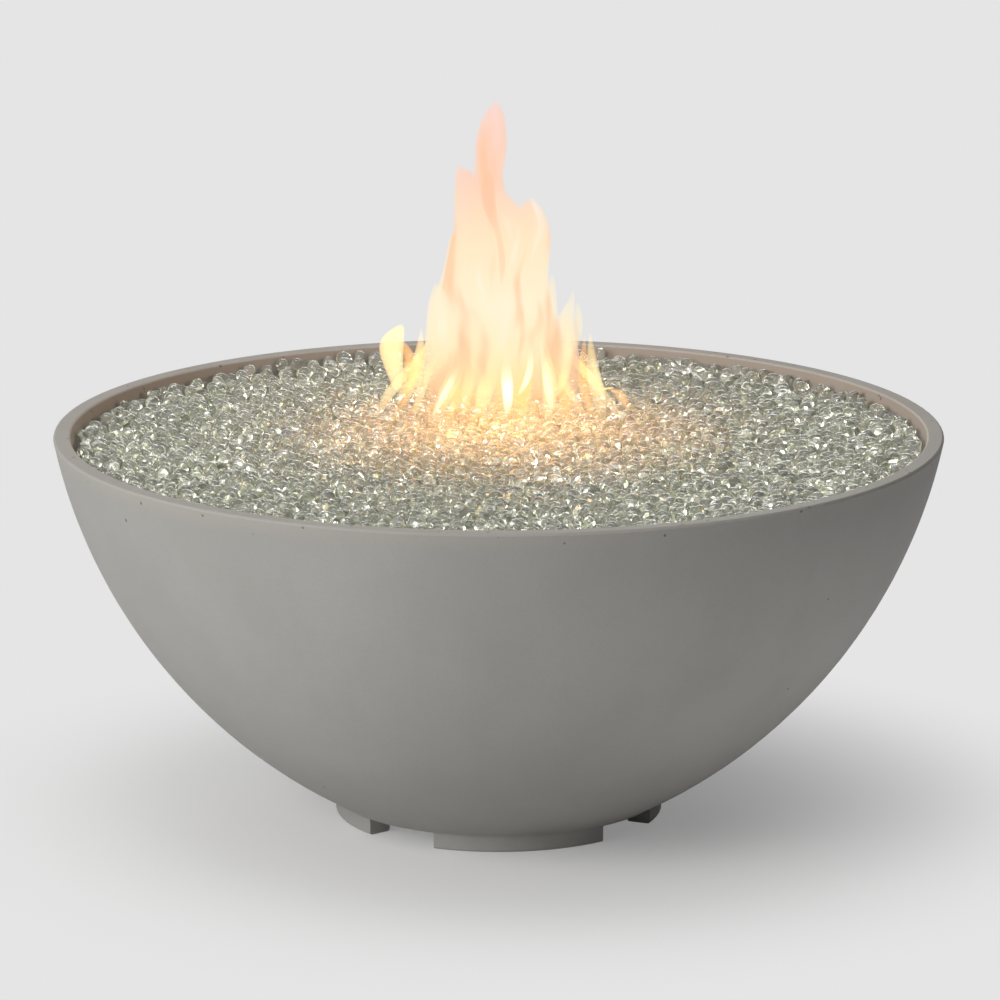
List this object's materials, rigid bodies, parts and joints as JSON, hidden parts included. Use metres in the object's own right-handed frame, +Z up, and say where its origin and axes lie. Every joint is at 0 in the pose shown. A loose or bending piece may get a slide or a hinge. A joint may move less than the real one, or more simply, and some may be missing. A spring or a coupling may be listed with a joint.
{
  "type": "gas fire pit bowl",
  "caption": "Round cast concrete fire bowl on four cast feet, with a gas ring burner under clear fire glass, and a valve knob and igniter button at the rear.",
  "frame": {"origin": "on the floor, below the middle of the bowl", "axes": "+Z up, -Y to the front, +Y to the control panel at the rear"},
  "size_m": [1.0672, 1.0668, 0.47],
  "materials": {
    "concrete": "smooth cast concrete",
    "fire_glass": "clear tumbled glass",
    "stainless": "brushed",
    "plain_steel": "zinc plated",
    "mixer_metal": "die cast",
    "brass": "machined",
    "braided_hose": "steel braid over a rubber tube",
    "black_steel": "powder coated",
    "knob_black": "matt moulded",
    "igniter_black": "moulded",
    "button_red": "glossy moulded",
    "battery_shell": "plain sleeve",
    "white_ceramic": "glazed",
    "probe_metal": "heat tinted",
    "silicone_lead": "silicone",
    "copper_lead": "copper tube"
  },
  "bodies": {
    "base": {"bowl_shell": "concrete", "glass_fill": "fire_glass", "glass_top": "fire_glass", "burner_pan": "stainless", "ring_burner": "stainless", "burner_stands": "stainless", "pan_rivets": "stainless", "ignition_hood": "stainless", "control_plate": "stainless", "panel_screws": "stainless", "burner_nipple": "plain_steel", "pan_locknuts": "plain_steel", "inlet_screws": "plain_steel", "igniter_spring": "plain_steel", "ignition_nuts": "plain_steel", "electrode_rod": "plain_steel", "air_mixer": "mixer_metal", "gas_orifice": "brass", "mixer_elbow": "brass", "hose_nuts": "brass", "inlet_union": "brass", "inlet_locknut": "brass", "valve_body": "brass", "bonnet_nut": "brass", "valve_outlet": "brass", "burner_hose": "braided_hose", "supply_hose": "braided_hose", "inlet_plate": "black_steel", "igniter_body": "igniter_black", "igniter_nut": "igniter_black", "igniter_battery": "battery_shell", "electrode_insulator": "white_ceramic", "thermocouple": "probe_metal", "spark_lead": "silicone_lead", "thermocouple_lead": "copper_lead"},
    "valve_rotor": {"valve_plug": "brass", "stem_spring": "plain_steel"},
    "knob": {"valve_stem": "plain_steel", "valve_knob": "knob_black", "knob_screw": "plain_steel"},
    "button": {"igniter_button": "button_red"}
  },
  "joints": [
    {"name": "knob_turn", "type": "hinge", "parent": "base", "child": "valve_rotor", "pos_m": [0.034, 0.43851, 0.25532], "axis": [0, 0.8467, -0.5321], "range_deg": [0, 90]},
    {"name": "knob_push", "type": "slide", "parent": "valve_rotor", "child": "knob", "axis": [0, -0.8467, 0.5321], "range_m": [0, 0.003], "stiffness_N_per_m": 1500, "springref_m": -0.002, "deforming": ["stem_spring"]},
    {"name": "igniter_press", "type": "slide", "parent": "base", "child": "button", "axis": [0, -0.8467, 0.5321], "range_m": [0, 0.004], "stiffness_N_per_m": 900, "springref_m": -0.002, "deforming": ["igniter_spring"]}
  ]
}
